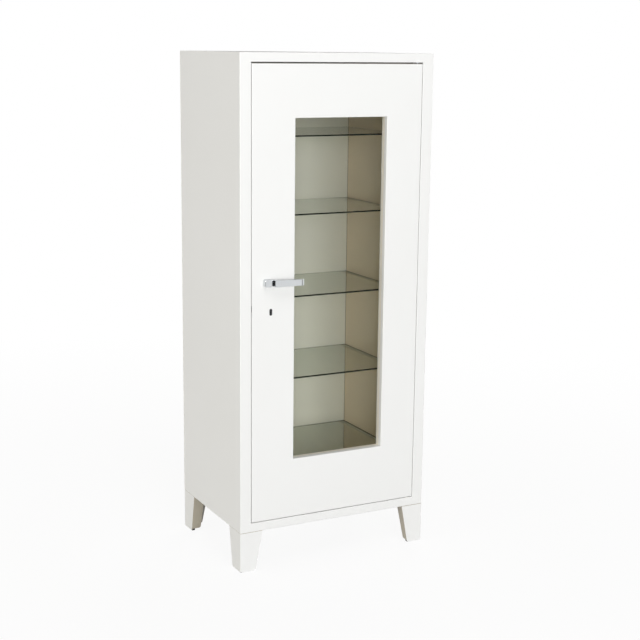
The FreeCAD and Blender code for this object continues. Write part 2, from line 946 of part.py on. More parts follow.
def lever_handle():
    # Drawn about its own spindle. The lever is where its plan and its elevation meet: it
    # leaves the hub, rises steeply forward and runs on as a flat bar that tapers and droops
    # a little to its tip, where a bevel steps back to a narrow end rim.
    half = hub_size / 2
    hub_back = -(rose_thickness + face_gap)
    corners = [(-half, -half), (half, -half), (half, half), (-half, half)]
    hub = prism(corners, [hub_corner] * 4, "xz", -hub_front, hub_back)
    root = half - hub_corner
    rise_start = half + 0.5
    rise_end = rise_start + lever_rise
    back = -lever_front + lever_thickness
    root_back = back + lever_thickness + 2
    rim = lever_reach - lever_end_rim
    rim_front = -lever_front + lever_end_step
    plan = [
        (root, -hub_front + 1), (rise_start, -hub_front + 1),
        (rise_end, -lever_front), (rim - lever_end_bevel, -lever_front),
        (rim, rim_front), (lever_reach, rim_front),
        (lever_reach, back), (rise_end + lever_neck_wall, back),
        (rise_start + lever_neck_wall, root_back), (root, root_back),
    ]
    plan_radii = [0, lever_bend, lever_bend, 0, 0, 0, 0, lever_bend, lever_bend, 0]
    shoulder = rise_end + lever_neck_wall
    elevation = [
        (root, -lever_neck / 2), (rise_end, -lever_neck / 2),
        (shoulder, -lever_root / 2), (lever_reach, -lever_tip / 2 - lever_droop),
        (lever_reach, lever_tip / 2 - lever_droop), (shoulder, lever_root / 2),
        (rise_end, lever_neck / 2), (root, lever_neck / 2),
    ]
    tip = lever_tip_corner
    elevation_radii = [0, lever_bend, lever_bend, tip, tip, lever_bend, lever_bend, 0]
    bar = prism(plan, plan_radii, "xy", -hub_size, hub_size)
    bar = bar.common(prism(elevation, elevation_radii, "xz", -lever_front - 1, 0))
    front_rim = edges_where(
        bar, lambda box: box.YMax < -lever_front + 0.01 and box.XLength > lever_reach / 2
    )
    bar = bar.makeFillet(lever_edge, front_rim)
    hub_rim = edges_where(hub, lambda box: box.YMax < -hub_front + 0.01)
    hub = hub.makeFillet(hub_edge, hub_rim)
    journal = round_y(0, 0, journal_diameter, hub_back, journal_end)
    half_square = spindle_square / 2
    socket = slab(
        -half_square, half_square, -hub_front / 2, journal_end + 1, -half_square, half_square
    )
    lever = joined([hub, bar, journal]).cut(socket)
    lever.translate(FreeCAD.Vector(spindle_x, 0, spindle_z))
    return lever


def handle_spindle():
    # Square where it drives the hub and the cam, round where it turns behind the cam.
    half = spindle_square / 2
    square = slab(
        spindle_x - half, spindle_x + half, -hub_front / 2, cam_front + cam_thickness,
        spindle_z - half, spindle_z + half,
    )
    journal = round_y(
        spindle_x, spindle_z, spindle_journal, cam_front + cam_thickness - 1,
        case_back + case_sheet + 1,
    )
    return joined([square, journal])


def cam_pin_places():
    # The pin of the top rod starts at the lower right, and that of the bottom rod
    # at the upper left.
    out = cam_radius * math.cos(half_turn)
    return [(spindle_x + out, spindle_z - pin_drop), (spindle_x - out, spindle_z + pin_drop)]


def cam_plate():
    web = slab(-cam_radius, cam_radius, cam_front, cam_front + cam_thickness, -cam_lobe, cam_lobe)
    web.rotate(FreeCAD.Vector(0, 0, 0), FreeCAD.Vector(0, 1, 0), math.degrees(half_turn))
    web.translate(FreeCAD.Vector(spindle_x, 0, spindle_z))
    back = cam_front + cam_thickness
    lobes = [round_y(x, z, 2 * cam_lobe, cam_front, back) for x, z in cam_pin_places()]
    boss = round_y(spindle_x, spindle_z, 2 * cam_boss, cam_front, back)
    half = spindle_square / 2
    square = slab(
        spindle_x - half, spindle_x + half, cam_front - 1, back + 1,
        spindle_z - half, spindle_z + half,
    )
    pins = [
        round_y(x, z, cam_pin_diameter, cam_front - 1, back + 1) for x, z in cam_pin_places()
    ]
    return joined([web, boss] + lobes).cut([square] + pins)


def cam_pins():
    back = cam_front + cam_thickness + cam_pin_length
    return group([
        round_y(x, z, cam_pin_diameter, cam_front, back) for x, z in cam_pin_places()
    ])


def mechanism_case():
    # A hat section behind the cam: its back carries the spindle, its ends let the rods by.
    inner = case_half_width
    path = [
        (spindle_x - inner - case_flange, sheet), (spindle_x - inner, sheet),
        (spindle_x - inner, case_back), (spindle_x + inner, case_back),
        (spindle_x + inner, sheet), (spindle_x + inner + case_flange, sheet),
    ]
    hat = folded(
        path, 1, "xy", spindle_z - case_half_height, spindle_z + case_half_height, case_sheet
    )
    bore = spindle_journal + 2 * bush_clearance
    return hat.cut(round_y(spindle_x, spindle_z, bore, case_back - 1, case_back + 2 * case_sheet))


# Bolt rods

def bolt_rod(sign):
    # sign 1 is the top rod on the right of the spindle, -1 the bottom rod on its left.
    # The yoke's slot lets the cam pin wander sideways while it lifts the rod.
    centre_x = spindle_x + sign * rod_offset
    slot_z = spindle_z - sign * pin_drop
    half_slot = cam_pin_diameter / 2 + yoke_slack
    half_yoke = half_slot + yoke_wall
    yoke_x = sorted((spindle_x + sign * yoke_inner, spindle_x + sign * yoke_outer))
    yoke = slab(*yoke_x, rod_front, rod_back, slot_z - half_yoke, slot_z + half_yoke)
    end_z = door_top - rod_end_inset if sign > 0 else door_bottom + rod_end_inset
    bar_z = sorted((slot_z, end_z))
    bar = slab(centre_x - rod_width / 2, centre_x + rod_width / 2, rod_front, rod_back, *bar_z)
    rod = joined([yoke, bar])
    corners = edges_where(
        rod, lambda box: is_along_y(box) and abs(box.ZMin - end_z) < 0.01
    )
    rod = rod.makeChamfer(rod_width / 5, corners)
    pin_swing = cam_radius * (1 - math.cos(half_turn))
    slot_half = pin_swing / 2 + cam_pin_diameter / 2 + rod_clearance
    slot = slab(
        centre_x - slot_half, centre_x + slot_half, rod_front - 1, rod_back + 1,
        slot_z - half_slot, slot_z + half_slot,
    )
    return rod.cut(slot)


def rod_guides():
    guides = []
    for sign in (1, -1):
        x = spindle_x + sign * rod_offset
        end = door_top - sheet - guide_height if sign > 0 else door_bottom + sheet
        start = spindle_z + sign * case_half_height
        middle = (start + end) / 2
        for z0 in (end, middle):
            block = slab(
                x - guide_width / 2, x + guide_width / 2,
                sheet, sheet + guide_depth, z0, z0 + guide_height,
            )
            slot = slab(
                x - rod_width / 2 - rod_clearance, x + rod_width / 2 + rod_clearance,
                rod_front - rod_clearance, rod_back + rod_clearance, z0 - 1, z0 + guide_height + 1,
            )
            guides.append(block.cut(slot))
    return group(guides)


# Key lock

def keyhole_slot(grow, y0, y1):
    # An upright oblong with round ends.
    half_width = keyhole_width / 2 + grow
    straight = (keyhole_height - keyhole_width) / 2
    ends = [
        round_y(keyhole_x, keyhole_z + s * straight, 2 * half_width, y0, y1) for s in (-1, 1)
    ]
    middle = slab(
        keyhole_x - half_width, keyhole_x + half_width, y0, y1,
        keyhole_z - straight, keyhole_z + straight,
    )
    return joined([middle] + ends)


def key_opening(y0, y1):
    # A round hole for the hollow key's stem, and a slit below it for its bit.
    stem = round_y(keyhole_x, keyhole_z, key_post_diameter + 2 * key_ring_gap, y0, y1)
    bit = slab(
        keyhole_x - key_bit_width / 2, keyhole_x + key_bit_width / 2, y0, y1,
        keyhole_z - key_bit_reach, keyhole_z,
    )
    return joined([stem, bit])


def keyhole_escutcheon():
    plate = keyhole_slot(escutcheon_lip, -escutcheon_proud, 0)
    body = keyhole_slot(0, 0, sheet)
    return joined([plate, body]).cut(key_opening(-2, 2 * sheet))


def lock_case():
    y0, y1 = sheet, sheet + lock_depth
    z0, z1 = keyhole_z - lock_height / 2, keyhole_z + lock_height / 2
    case = slab(lock_left, lock_left + lock_length, y0, y1, z0, z1)
    cavity = slab(
        lock_left + lock_wall, lock_left + lock_length - lock_wall,
        y0 + lock_wall, y1 - lock_wall, z0 + lock_wall, z1 - lock_wall,
    )
    half = lock_bolt_height / 2 + face_gap
    mouth = slab(
        lock_left - 1, lock_left + 2 * lock_wall, lock_bolt_front - face_gap,
        lock_bolt_back + face_gap, lock_bolt_z - half, lock_bolt_z + half,
    )
    return case.cut([cavity, mouth, key_opening(y0 - 1, y0 + 2 * lock_wall)])


def key_post():
    back = sheet + lock_depth - lock_wall
    return round_y(keyhole_x, keyhole_z, key_post_diameter, sheet + lock_wall / 2, back)


def lock_bolt():
    # The head passes through the door's edge, and the tail carries the key's notch.
    front, back = lock_bolt_front, lock_bolt_back
    x0 = door_left + sheet / 2
    half = lock_bolt_height / 2
    tail = lock_bolt_tail / 2
    head = slab(x0, x0 + lock_bolt_head, front, back, lock_bolt_z - half, lock_bolt_z + half)
    bar = slab(x0, x0 + lock_bolt_length, front, back, lock_bolt_z - tail, lock_bolt_z + tail)
    notch_half = key_notch_width / 2
    notch = slab(
        keyhole_x - notch_half, keyhole_x + notch_half, front - 1, back + 1,
        lock_bolt_z - tail - 1, lock_bolt_z - tail + key_notch_depth,
    )
    return joined([head, bar]).cut(notch)


# Every piece and its name

def all_parts():
    parts = {
        "left_side_panel": side_panel(False),
        "right_side_panel": side_panel(True),
        "left_inner_wall": inner_wall(False),
        "right_inner_wall": inner_wall(True),
        "top_panel": top_panel(),
        "ceiling_liner": ceiling_liner(),
        "bottom_panel": bottom_panel(),
        "floor_liner": floor_liner(),
        "back_panel": back_panel(),
        "shelf_ledges_left": shelf_ledges(False),
        "shelf_ledges_right": shelf_ledges(True),
        "shelf_pads": shelf_pads(),
        "leg_bolts": leg_bolts(),
        "leg_nuts": leg_nuts(),
        "hinge_plates": hinge_plates(),
        "hinge_bushes": hinge_bushes(),
        "thrust_washer": thrust_washer(),
        "door_buffers": door_buffers(),
        "door_outer_skin": door_outer_skin(),
        "door_inner_panel": door_inner_panel(),
        "glazing_frame": glazing_frame(),
        "door_glass": door_glass(),
        "glass_gaskets": glass_gaskets(),
        "service_cover": service_cover(),
        "door_screws": door_screws(),
        "pivot_blocks": pivot_blocks(),
        "upper_hinge_pin": upper_hinge_pin(),
        "lower_hinge_pin": lower_hinge_pin(),
        "handle_rose": handle_rose(),
        "spindle_bush": spindle_bush(),
        "lever_handle": lever_handle(),
        "handle_spindle": handle_spindle(),
        "cam_plate": cam_plate(),
        "cam_pins": cam_pins(),
        "mechanism_case": mechanism_case(),
        "top_bolt_rod": bolt_rod(1),
        "bottom_bolt_rod": bolt_rod(-1),
        "rod_guides": rod_guides(),
        "lock_case": lock_case(),
        "key_post": key_post(),
        "keyhole_escutcheon": keyhole_escutcheon(),
        "lock_bolt": lock_bolt(),
    }
    for number, share in enumerate(shelf_shares, start=1):
        parts[f"glass_shelf_{number}"] = glass_shelf(share)
    for kind, piece in (("leg", leg()), ("foot", leg_foot())):
        for corner, copy in at_corners(piece).items():
            parts[f"{corner}_{kind}"] = copy
    for side in ("left", "right", "bottom", "top"):
        parts[f"glazing_bead_{side}"] = glazing_bead(side)
    return parts


os.makedirs("parts", exist_ok=True)
for name, shape in all_parts().items():
    shape.translate(origin * -1)
    shape.exportStep(f"parts/{name}.step")
    print(f"{name}: {len(shape.Solids)} solids, {shape.Volume / 1000:.1f} cm3, valid {shape.isValid()}")
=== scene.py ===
import json
import math

import bmesh
import bpy
from mathutils import Matrix, Vector


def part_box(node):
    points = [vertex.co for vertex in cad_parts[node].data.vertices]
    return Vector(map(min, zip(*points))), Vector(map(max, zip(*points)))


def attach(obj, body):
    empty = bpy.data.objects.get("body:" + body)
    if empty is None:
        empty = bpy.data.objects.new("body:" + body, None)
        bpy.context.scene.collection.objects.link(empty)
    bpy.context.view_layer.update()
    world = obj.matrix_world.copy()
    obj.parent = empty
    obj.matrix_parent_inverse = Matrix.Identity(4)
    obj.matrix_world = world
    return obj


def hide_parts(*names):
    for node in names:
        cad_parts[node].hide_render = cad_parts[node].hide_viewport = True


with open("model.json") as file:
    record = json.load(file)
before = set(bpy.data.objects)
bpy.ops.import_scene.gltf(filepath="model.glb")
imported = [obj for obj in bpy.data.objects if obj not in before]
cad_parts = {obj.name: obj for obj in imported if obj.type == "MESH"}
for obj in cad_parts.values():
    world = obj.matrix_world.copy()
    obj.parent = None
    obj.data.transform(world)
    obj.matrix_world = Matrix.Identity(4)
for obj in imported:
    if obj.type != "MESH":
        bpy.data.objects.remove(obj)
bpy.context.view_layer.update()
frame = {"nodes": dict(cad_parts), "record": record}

nodes = frame["nodes"]
mm = 0.001
weldGap = 1e-6            # the frame's triangles come loose, so their corners are merged first
flatAngle = 0.02          # triangles that turn less than this, in radians, are one flat face
noiseBand = (0.3, 0.7)    # where nearly all the values of the noise lie


def linear(hexColour):
    # A written colour, as the light values that shaders and lamps take.
    parts = [int(hexColour[i:i + 2], 16) / 255 for i in (1, 3, 5)]
    return [c / 12.92 if c < 0.04045 else ((c + 0.055) / 1.055) ** 2.4 for c in parts] + [1]


def addNode(tree, kind, settings={}, links={}):
    # Settings are properties or input values, links are inputs and the outputs that feed them.
    node = tree.nodes.new("ShaderNode" + kind)
    for name, value in settings.items():
        if isinstance(name, str) and hasattr(node, name):
            setattr(node, name, value)
        else:
            node.inputs[name].default_value = value
    for name, source in links.items():
        tree.links.new(source, node.inputs[name])
    return node


def startMaterial(name, values):
    material = bpy.data.materials.new(name)
    material.use_nodes = True
    shader = material.node_tree.nodes["Principled BSDF"]
    for key, value in values.items():
        shader.inputs[key].default_value = value
    return material, material.node_tree, shader


# Painted steel

powderCoat = {
    "outside": ("#F7F7F6", "#F4F4F2"),   # the tone and where it drifts to over a panel
    "inside": ("#F6E3C8", "#F1DEC2"),
    "back": ("#E9E7DD", "#E5E2D7"),      # the back sheet is greyer than the side walls: painted light, for the pane's reflection over the back wall and the warm bounced light on the side walls
    "frame": ("#FAF5E9", "#F6F1E4"),
    "legInsidePaintedShade": "#B9B1A0",              # painted shade on leg faces turned in under the cabinet
    "driftMm": 420,
    "roughness": (0.33, 0.40),
    "patchMm": 70,
    "peelMm": 2.2,                       # real orange peel is about 1 mm, drawn coarser to show
    "peelDepthMm": 0.012,
    "turnedIn": (-0.4, -0.7),            # a face that looks outwards less than this gets the painted shade
    "paintedJointShadeFadeMm": 0.2,
}


def powderCoatedSteel(name, tones, paintedInwardShade=None, joint=None):
    # Polyester powder baked on sheet steel: satin, with a faint orange peel that breaks up
    # the edges of what it mirrors. Faces that look in towards the middle of the cabinet can
    # be given a darker tone, which is painted shade, and a dark line along a joint is painted
    # shade too.
    material, tree, shader = startMaterial(name, {"IOR": 1.5})
    place = addNode(tree, "TexCoord").outputs["Object"]
    drift = addNode(
        tree, "TexNoise", {"Scale": 1 / (powderCoat["driftMm"] * mm), "Detail": 1.0},
        {"Vector": place},
    )
    tone = addNode(
        tree, "Mix", {"data_type": "RGBA", 6: linear(tones[0]), 7: linear(tones[1])},
        {0: drift.outputs["Fac"]},
    )
    # Faces turned in towards the middle of the cabinet get a darker tone: painted shade.
    if paintedInwardShade:
        side = addNode(tree, "VectorMath", {"operation": "SIGN"}, {0: place}).outputs["Vector"]
        facing = addNode(tree, "NewGeometry").outputs["True Normal"]
        outwards = addNode(
            tree, "VectorMath", {"operation": "MULTIPLY"}, {0: side, 1: facing}
        ).outputs["Vector"]
        parts = addNode(tree, "SeparateXYZ", {}, {0: outwards})
        least = addNode(
            tree, "Math", {"operation": "MINIMUM"}, {0: parts.outputs["X"], 1: parts.outputs["Y"]}
        )
        first, last = powderCoat["turnedIn"]
        inwards = addNode(
            tree, "MapRange", {"From Min": first, "From Max": last}, {"Value": least.outputs[0]}
        )
        tone = addNode(
            tree, "Mix", {"data_type": "RGBA", 7: linear(paintedInwardShade)},
            {0: inwards.outputs["Result"], 6: tone.outputs[2]},
        )
    # A dark line along a joint: painted shade in the corner or gap.
    if joint:
        size = addNode(tree, "VectorMath", {"operation": "ABSOLUTE"}, {0: place}).outputs["Vector"]
        away = addNode(
            tree, "VectorMath", {"operation": "SUBTRACT", 1: joint["at"]}, {0: size}
        ).outputs["Vector"]
        across = addNode(
            tree, "VectorMath", {"operation": "MULTIPLY", 1: joint["across"]}, {0: away}
        ).outputs["Vector"]
        distance = addNode(tree, "VectorMath", {"operation": "LENGTH"}, {0: across})
        edge = joint["reachMm"] * mm
        paintedJointShadeMask = addNode(
            tree, "MapRange",
            {"From Min": edge, "From Max": edge - powderCoat["paintedJointShadeFadeMm"] * mm},
            {"Value": distance.outputs["Value"]},
        )
        tone = addNode(
            tree, "Mix", {"data_type": "RGBA", 7: linear(joint["paintedJointShade"])},
            {0: paintedJointShadeMask.outputs["Result"], 6: tone.outputs[2]},
        )
    tree.links.new(tone.outputs[2], shader.inputs["Base Color"])
    patch = addNode(
        tree, "TexNoise", {"Scale": 1 / (powderCoat["patchMm"] * mm), "Detail": 3.0},
        {"Vector": place},
    )
    low, high = powderCoat["roughness"]
    gloss = addNode(
        tree, "MapRange",
        {"From Min": noiseBand[0], "From Max": noiseBand[1], "To Min": low, "To Max": high},
        {"Value": patch.outputs["Fac"]},
    )
    tree.links.new(gloss.outputs["Result"], shader.inputs["Roughness"])
    peel = addNode(
        tree, "TexNoise", {"Scale": 1 / (powderCoat["peelMm"] * mm), "Detail": 1.5},
        {"Vector": place},
    )
    bump = addNode(
        tree, "Bump", {"Distance": powderCoat["peelDepthMm"] * mm}, {"Height": peel.outputs["Fac"]}
    )
    tree.links.new(bump.outputs["Normal"], shader.inputs["Normal"])
    return material


# Glass

floatGlass = {
    "pane": "#F8FCF9",
    "paneLampTone": "#F4F4F2",        # what lamps keep of their colour on the way through
    "paneIor": 1.18,                  # a low value keeps the studio's reflection off the window
    "paneSmear": 0.02,                # roughness where a cloth has left its marks
    "paneWipeStretch": (1, 1, 0.35),  # the window is wiped up and down
    "shelf": "#D3D6D0",
    "shelfLampTone": "#F0F3EE",
    "shelfIor": 1.45,
    "shelfSmear": 0.03,
    "wipeMm": 160,
    "wipeBand": (0.4, 0.7),
    # the rim is a painted reflection of the ground edge, widened to paint the ledge's shade as
    # well
    "rim": "#4C5146",
    "rimMm": 7,
    "arrisMm": 0.6,
    "edge": ("#070D04", "#0E150A"),
    "edgeStreakMm": 25,
    "edgeStretch": (0.15, 0.15, 1),   # grinding streaks run along the edge
}


def lampsThrough(tree, shader, tint):
    # Lamps and bounced light reach what is behind the glass.
    path = addNode(tree, "LightPath")
    either = addNode(
        tree, "Math", {"operation": "MAXIMUM"},
        {0: path.outputs["Is Shadow Ray"], 1: path.outputs["Is Diffuse Ray"]},
    )
    clear = addNode(tree, "BsdfTransparent", {"Color": linear(tint)})
    both = addNode(
        tree, "MixShader", {}, {0: either.outputs[0], 1: shader.outputs[0], 2: clear.outputs[0]}
    )
    tree.links.new(both.outputs[0], tree.nodes["Material Output"].inputs["Surface"])


def clearPaneGlass():
    # Clear float glass, 4 mm: almost no colour, faint wiping marks in its gloss.
    material, tree, shader = startMaterial(
        "clearFloatGlass",
        {"Base Color": linear(floatGlass["pane"]), "Transmission Weight": 1.0,
         "IOR": floatGlass["paneIor"]},
    )
    place = addNode(tree, "TexCoord").outputs["Object"]
    strokes = addNode(
        tree, "Mapping", {"Scale": floatGlass["paneWipeStretch"]}, {"Vector": place}
    )
    marks = addNode(
        tree, "TexNoise", {"Scale": 1 / (floatGlass["wipeMm"] * mm), "Detail": 4.0},
        {"Vector": strokes.outputs["Vector"]},
    )
    clean, wiped = floatGlass["wipeBand"]
    gloss = addNode(
        tree, "MapRange",
        {"From Min": clean, "From Max": wiped, "To Min": 0.0, "To Max": floatGlass["paneSmear"]},
        {"Value": marks.outputs["Fac"]},
    )
    tree.links.new(gloss.outputs["Result"], shader.inputs["Roughness"])
    lampsThrough(tree, shader, floatGlass["paneLampTone"])
    return material


def shelfFaceGlass():
    # Float glass, 5 mm: clear through its faces, with a painted dark rim within a few millimetres
    # of the border: a painted reflection of its own ground edge and painted shade from the ledge
    # under it.
    material, tree, shader = startMaterial(
        "clearShelfGlass", {"Transmission Weight": 1.0, "IOR": floatGlass["shelfIor"]}
    )
    place = addNode(tree, "TexCoord").outputs["Object"]
    rimWidth = floatGlass["rimMm"] * mm
    low, high = [Vector(corner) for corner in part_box("glass_shelf_1")]
    middle, half = (low + high) / 2, (high - low) / 2
    centred = addNode(
        tree, "VectorMath", {"operation": "SUBTRACT", 1: middle}, {0: place}
    ).outputs["Vector"]
    size = addNode(tree, "VectorMath", {"operation": "ABSOLUTE"}, {0: centred}).outputs["Vector"]
    beyond = addNode(
        tree, "VectorMath", {"operation": "SUBTRACT", 1: half - Vector([rimWidth] * 3)}, {0: size}
    ).outputs["Vector"]
    sides = addNode(tree, "SeparateXYZ", {}, {0: beyond})
    nearest = addNode(
        tree, "Math", {"operation": "MAXIMUM"}, {0: sides.outputs["X"], 1: sides.outputs["Y"]}
    )
    # A dark rim near the border: painted reflection of the ground edge and painted shade from the
    # ledge.
    rim = addNode(
        tree, "MapRange", {"From Min": 0.0, "From Max": rimWidth / 2},
        {"Value": nearest.outputs[0]},
    )
    sheet = addNode(
        tree, "Mix",
        {"data_type": "RGBA", 6: linear(floatGlass["shelf"]), 7: linear(floatGlass["rim"])},
        {0: rim.outputs["Result"]},
    )
    tree.links.new(sheet.outputs[2], shader.inputs["Base Color"])
    marks = addNode(
        tree, "TexNoise", {"Scale": 1 / (floatGlass["wipeMm"] * mm), "Detail": 4.0},
        {"Vector": place},
    )
    clean, wiped = floatGlass["wipeBand"]
    gloss = addNode(
        tree, "MapRange",
        {"From Min": clean, "From Max": wiped, "To Min": 0.0, "To Max": floatGlass["shelfSmear"]},
        {"Value": marks.outputs["Fac"]},
    )
    tree.links.new(gloss.outputs["Result"], shader.inputs["Roughness"])
    lampsThrough(tree, shader, floatGlass["shelfLampTone"])
    return material


def shelfEdgeGlass():
    # The same glass seen in through its ground edge: nearly black bottle green from the iron
    # in it, matt from the wheel, with long faint grinding streaks.
    material, tree, shader = startMaterial(
        "groundShelfEdge", {"IOR": 1.3, "Specular IOR Level": 0.1, "Roughness": 0.5}
    )
    place = addNode(tree, "TexCoord").outputs["Object"]
    along = addNode(tree, "Mapping", {"Scale": floatGlass["edgeStretch"]}, {"Vector": place})
    streak = addNode(
        tree, "TexNoise", {"Scale": 1 / (floatGlass["edgeStreakMm"] * mm), "Detail": 3.0},
        {"Vector": along.outputs["Vector"]},
    )
    dark, light = floatGlass["edge"]
    edge = addNode(
        tree, "Mix", {"data_type": "RGBA", 6: linear(dark), 7: linear(light)},
        {0: streak.outputs["Fac"]},
    )
    tree.links.new(edge.outputs[2], shader.inputs["Base Color"])
    return material


# Metal

chrome = {
    "tones": ("#D3D6D8", "#CED1D3"), "patchMm": 40, "roughness": (0.05, 0.13),
    "grainMm": 1.1, "grainDepthMm": 0.002, "stretch": (0.04, 1, 1),
}
zinc = {
    "tones": ("#B9BDC0", "#A3A8AC"), "patchMm": 9, "roughness": (0.26, 0.42),
    "grainMm": 1.5, "grainDepthMm": 0.01, "stretch": (1, 1, 1),
}
# Drawn nearly black, darker than bare steel: painted shade inside the keyhole.
lockSteel = {
    "tones": ("#2A2B2C", "#3A3A38"), "patchMm": 5, "roughness": (0.38, 0.5),
    "grainMm": 2, "grainDepthMm": 0.01, "stretch": (1, 1, 1),
}


def platedMetal(name, plate):
    # Bare or plated metal: its tone in soft patches, and a grain that can be drawn out.
    material, tree, shader = startMaterial(name, {"Metallic": 1.0})
    place = addNode(tree, "TexCoord").outputs["Object"]
    patches = addNode(
        tree, "TexNoise", {"Scale": 1 / (plate["patchMm"] * mm), "Detail": 3.0}, {"Vector": place}
    )
    first, second = plate["tones"]
    tone = addNode(
        tree, "Mix", {"data_type": "RGBA", 6: linear(first), 7: linear(second)},
        {0: patches.outputs["Fac"]},
    )
    tree.links.new(tone.outputs[2], shader.inputs["Base Color"])
    drawn = addNode(tree, "Mapping", {"Scale": plate["stretch"]}, {"Vector": place})
    grain = addNode(
        tree, "TexNoise", {"Scale": 1 / (plate["grainMm"] * mm), "Detail": 2.0},
        {"Vector": drawn.outputs["Vector"]},
    )
    low, high = plate["roughness"]
    gloss = addNode(
        tree, "MapRange",
        {"From Min": noiseBand[0], "From Max": noiseBand[1], "To Min": low, "To Max": high},
        {"Value": grain.outputs["Fac"]},
    )
    tree.links.new(gloss.outputs["Result"], shader.inputs["Roughness"])
    bump = addNode(
        tree, "Bump", {"Distance": plate["grainDepthMm"] * mm}, {"Height": grain.outputs["Fac"]}
    )
    tree.links.new(bump.outputs["Normal"], shader.inputs["Normal"])
    return material


# Plastic and rubber

rubber = {
    "tones": ("#141414", "#1D1C1B"), "roughness": (0.57, 0.70), "grainMm": 0.6, "ior": 1.52,
}
blackAbs = {
    "tones": ("#101112", "#17181A"), "roughness": (0.37, 0.50), "grainMm": 0.8, "ior": 1.54,
}
nylon = {
    "tones": ("#E6E2D6", "#DAD5C6"), "roughness": (0.40, 0.53), "grainMm": 0.8, "ior": 1.53,
}
moulding = {"mottleMm": 12, "grainDepthMm": 0.02}


def mouldedPlastic(name, plastic):
    # Injection moulded: an even tone with a fine spark-eroded grain.
    material, tree, shader = startMaterial(name, {"IOR": plastic["ior"]})
    place = addNode(tree, "TexCoord").outputs["Object"]
    mottle = addNode(
        tree, "TexNoise", {"Scale": 1 / (moulding["mottleMm"] * mm), "Detail": 3.0},
        {"Vector": place},
    )
    first, second = plastic["tones"]
    tone = addNode(
        tree, "Mix", {"data_type": "RGBA", 6: linear(first), 7: linear(second)},
        {0: mottle.outputs["Fac"]},
    )
    tree.links.new(tone.outputs[2], shader.inputs["Base Color"])
    low, high = plastic["roughness"]
    gloss = addNode(
        tree, "MapRange",
        {"From Min": noiseBand[0], "From Max": noiseBand[1], "To Min": low, "To Max": high},
        {"Value": mottle.outputs["Fac"]},
    )
    tree.links.new(gloss.outputs["Result"], shader.inputs["Roughness"])
    grain = addNode(
        tree, "TexNoise", {"Scale": 1 / (plastic["grainMm"] * mm), "Detail": 1.0},
        {"Vector": place},
    )
    bump = addNode(
        tree, "Bump", {"Distance": moulding["grainDepthMm"] * mm}, {"Height": grain.outputs["Fac"]}
    )
    tree.links.new(bump.outputs["Normal"], shader.inputs["Normal"])
    return material


# Which finish each piece has

topRailMm = 30            # the height of the strip over the door
wallFace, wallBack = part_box("right_inner_wall")[0][0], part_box("right_inner_wall")[1][1]
doorFront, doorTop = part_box("door_outer_skin")[0][1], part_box("door_outer_skin")[1][2]
doorStop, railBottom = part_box("door_buffers")[1][1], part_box("top_panel")[1][2] - topRailMm * mm
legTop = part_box("front_left_leg")[1][2]

# Painted shade lies where two pieces meet: a dark line in the corner or gap where shade
# falls. "at" is a place on the joint, with the left half of the cabinet folded onto the right
# one and the front onto the back, and "across" picks the directions across the joint.
joints = {
    "legSeam": {"at": (0, 0, legTop), "across": (0, 0, 1), "reachMm": 0.9, "paintedJointShade": "#B9B1A0"},
    "wallToBack": {
        "at": (wallFace, wallBack, 0), "across": (1, 1, 0), "reachMm": 1.2, "paintedJointShade": "#8E8573",
    },
    "overDoor": {
        "at": (0, -doorStop, railBottom), "across": (0, 1, 1), "reachMm": 3.4, "paintedJointShade": "#3E3A33",
    },
    "doorTop": {
        "at": (0, -doorFront, doorTop), "across": (0, 1, 1), "reachMm": 2.4, "paintedJointShade": "#77736A",
    },
}
outside, legInsidePaintedShade = powderCoat["outside"], powderCoat["legInsidePaintedShade"]
finishes = {
    "outside": powderCoatedSteel("whitePowderCoat", outside),
    "top": powderCoatedSteel("whiteTopPowderCoat", outside, joint=joints["overDoor"]),
    "door": powderCoatedSteel("whiteDoorPowderCoat", outside, joint=joints["doorTop"]),
    "leg": powderCoatedSteel("whiteLegPowderCoat", outside, legInsidePaintedShade, joints["legSeam"]),
    "inside": powderCoatedSteel(
        "creamPowderCoat", powderCoat["inside"], joint=joints["wallToBack"]
    ),
    "back": powderCoatedSteel(
        "creamGreyPowderCoat", powderCoat["back"], joint=joints["wallToBack"]
    ),
    "frame": powderCoatedSteel("paleCreamPowderCoat", powderCoat["frame"]),
    "pane": clearPaneGlass(),
    "shelf": shelfFaceGlass(),
    "shelfEdge": shelfEdgeGlass(),
    # Polished die casting under bright chrome: a mirror with hairline marks along the lever.
    "chrome": platedMetal("polishedChromePlate", chrome),
    # Bright zinc on pressed and turned steel: pale grey with soft crystalline patches.
    "zinc": platedMetal("zincPlatedSteel", zinc),
    # Steel in the lock, drawn nearly black: painted shade inside the keyhole.
    "lock": platedMetal("nearBlackLockSteel", lockSteel),
    "rubber": mouldedPlastic("nitrileRubber", rubber),
    "black": mouldedPlastic("blackMouldedAbs", blackAbs),
    "nylon": mouldedPlastic("naturalNylon", nylon),
}
slotFinish = {
    "painted_steel": "outside", "clear_glass": "shelf", "polished_chrome": "chrome",
    "zinc_steel": "zinc", "black_rubber": "rubber", "black_plastic": "black",
    "white_nylon": "nylon",
}
ownFinish = {
    "door_glass": "pane", "glazing_frame": "frame", "door_outer_skin": "door",
    "top_panel": "top", "back_panel": "back",
    "left_inner_wall": "inside", "right_inner_wall": "inside",
    "ceiling_liner": "inside", "floor_liner": "inside",
    "shelf_ledges_left": "inside", "shelf_ledges_right": "inside",
    "front_left_leg": "leg", "front_right_leg": "leg",
    "back_left_leg": "leg", "back_right_leg": "leg",
    "key_post": "lock", "lock_case": "lock",
}
finishOf = {}
for part in frame["record"]["subparts"]:
    name = part["node"]
    finishOf[name] = finishes[ownFinish.get(name, slotFinish[part["material_slot"]])]
    mesh = nodes[name].data
    mesh.materials.clear()
    mesh.materials.append(finishOf[name])
print("materials on", len(nodes), "nodes")


# New pieces

